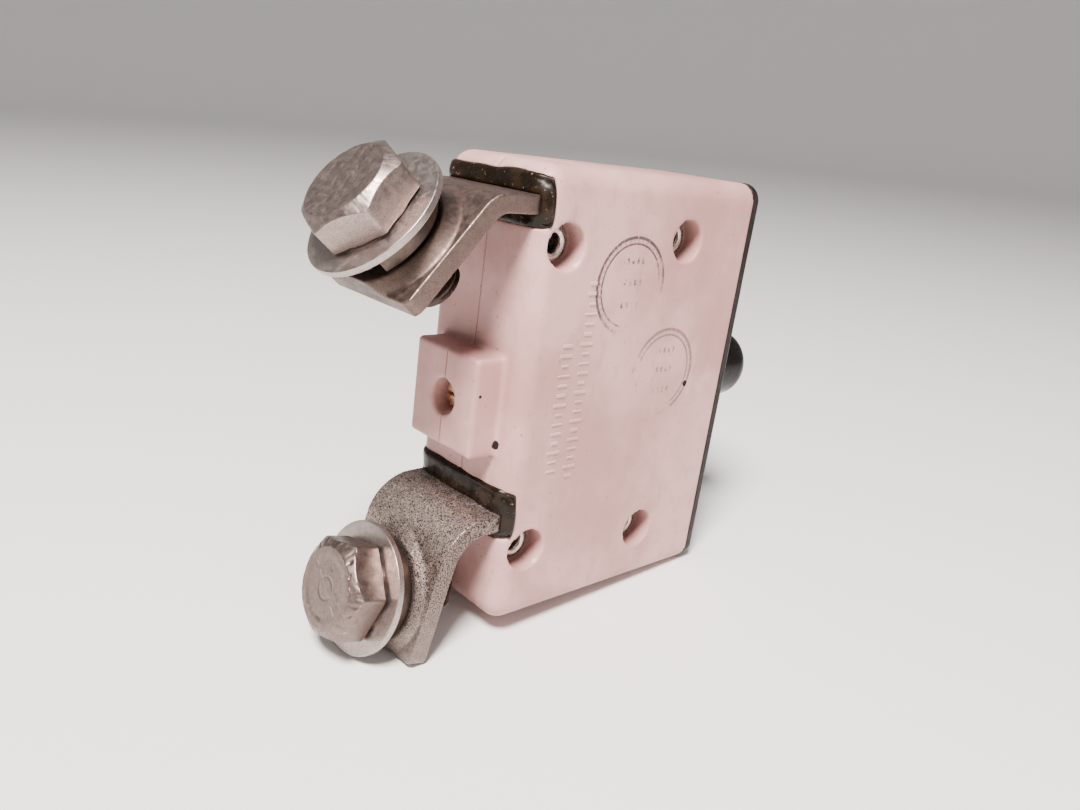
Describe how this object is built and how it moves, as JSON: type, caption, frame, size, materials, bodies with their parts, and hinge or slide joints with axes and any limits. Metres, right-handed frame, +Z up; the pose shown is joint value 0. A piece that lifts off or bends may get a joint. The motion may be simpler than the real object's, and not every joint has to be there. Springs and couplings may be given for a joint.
{
  "type": "circuit breaker",
  "caption": "Push-pull panel circuit breaker: slim moulded case, black front plate with a round button, and two bent rear terminals with hex bolts.",
  "frame": {"origin": "centre of the front plate's outer face, on the button's axis, midway between the two panel screws", "axes": "+Y from the front face into the case towards the terminals, +Z up along the case's height, X across its thickness"},
  "size_m": [0.019, 0.0729, 0.0589],
  "materials": {
    "case_resin": "satin moulded thermoset, off-white, slightly grimy",
    "plate_black": "semi-gloss black",
    "button_black": "black, smooth",
    "band_white": "white trip indicator",
    "potting_black": "black-brown glossy potting compound",
    "terminal_plate": "dull tin-plated copper, speckled",
    "hardware_steel": "dull plated steel, worn edges",
    "nut_dark": "dark phosphated steel",
    "rivet_bright": "bright nickel plate",
    "brass": "plain brass",
    "spring_steel": "spring wire",
    "frame_steel": "zinc-plated sheet steel",
    "copper": "bare copper",
    "silver": "silver contact",
    "bimetal": "rolled bimetal",
    "fibre": "vulcanised fibre",
    "carrier": "dark phenolic moulding"
  },
  "bodies": {
    "case": {"case_shell_left": "case_resin", "case_shell_right": "case_resin", "case_rivets": "rivet_bright", "front_plate": "plate_black", "panel_inserts": "brass", "button_bushing": "plate_black", "fixed_contacts": "silver", "line_contact_bar": "copper", "load_contact_bar": "copper", "shunt_braid": "copper", "mechanism_frame": "frame_steel", "latch_pin": "frame_steel", "latch_spring": "spring_steel", "bimetal_bracket": "frame_steel", "bimetal_spacer": "fibre", "bimetal_rivets": "brass", "calibration_nut": "brass", "arc_barriers": "fibre", "return_spring": "spring_steel", "line_terminal": "terminal_plate", "load_terminal": "terminal_plate", "line_terminal_seal": "potting_black", "load_terminal_seal": "potting_black", "line_captive_nut": "nut_dark", "load_captive_nut": "nut_dark"},
    "push_button": {"button": "button_black", "trip_band": "band_white", "plunger": "frame_steel", "plunger_clip": "spring_steel", "crosshead": "carrier", "bridge_pins": "frame_steel", "contact_spring": "spring_steel"},
    "bridge": {"contact_bridge": "copper", "moving_contacts": "silver"},
    "latch": {"latch_lever": "frame_steel"},
    "bimetal": {"bimetal_strip": "bimetal"},
    "calibration": {"calibration_screw": "brass"},
    "line_washers": {"line_flat_washer": "hardware_steel", "line_lock_washer": "hardware_steel"},
    "line_screw": {"line_bolt": "hardware_steel"},
    "load_washers": {"load_flat_washer": "hardware_steel", "load_lock_washer": "hardware_steel"},
    "load_screw": {"load_bolt": "hardware_steel"}
  },
  "joints": [
    {"name": "button_slide", "type": "slide", "parent": "case", "child": "push_button", "axis": [0, -1, 0], "range_m": [0, 0.0048], "deforming": ["return_spring", "contact_spring"]},
    {"name": "bridge_slide", "type": "slide", "parent": "case", "child": "bridge", "axis": [0, -1, 0], "range_m": [0, 0.00421]},
    {"name": "latch_swing", "type": "hinge", "parent": "case", "child": "latch", "pos_m": [0, 0.0265, 0.0055], "axis": [1, 0, 0], "range_deg": [-8.01, 0], "deforming": ["latch_spring"]},
    {"name": "bimetal_flex", "type": "hinge", "parent": "case", "child": "bimetal", "pos_m": [0, 0.0314, 0.008], "axis": [1, 0, 0], "range_deg": [-6.21, 0], "deforming": ["bimetal_strip", "shunt_braid"]},
    {"name": "calibration_turn", "type": "hinge", "parent": "case", "child": "calibration", "pos_m": [0, 0.0375, -0.0003], "axis": [0, 1, 0], "range_deg": [-180, 180]},
    {"name": "line_bolt_travel", "type": "slide", "parent": "case", "child": "line_washers", "axis": [0, 0.7536, 0.6574], "range_m": [0, 0.005]},
    {"name": "line_bolt_turn", "type": "hinge", "parent": "line_washers", "child": "line_screw", "pos_m": [0, 0.05415, 0.02095], "axis": [0, 0.7536, 0.6574], "range_deg": [0, 1985]},
    {"name": "load_bolt_travel", "type": "slide", "parent": "case", "child": "load_washers", "axis": [0, 0.9686, 0.2487], "range_m": [0, 0.005]},
    {"name": "load_bolt_turn", "type": "hinge", "parent": "load_washers", "child": "load_screw", "pos_m": [0, 0.05241, -0.02309], "axis": [0, 0.9686, 0.2487], "range_deg": [0, 1985]}
  ],
  "couplings": [
    {"joint": "bridge_slide", "follows": "button_slide", "ratio": 0.875},
    {"joint": "latch_swing", "follows": "button_slide", "rad_per_m": -29.089},
    {"joint": "bimetal_flex", "follows": "button_slide", "rad_per_m": -22.544},
    {"joint": "line_bolt_turn", "follows": "line_bolt_travel", "rad_per_m": 6926.3},
    {"joint": "load_bolt_turn", "follows": "load_bolt_travel", "rad_per_m": 6926.3}
  ]
}
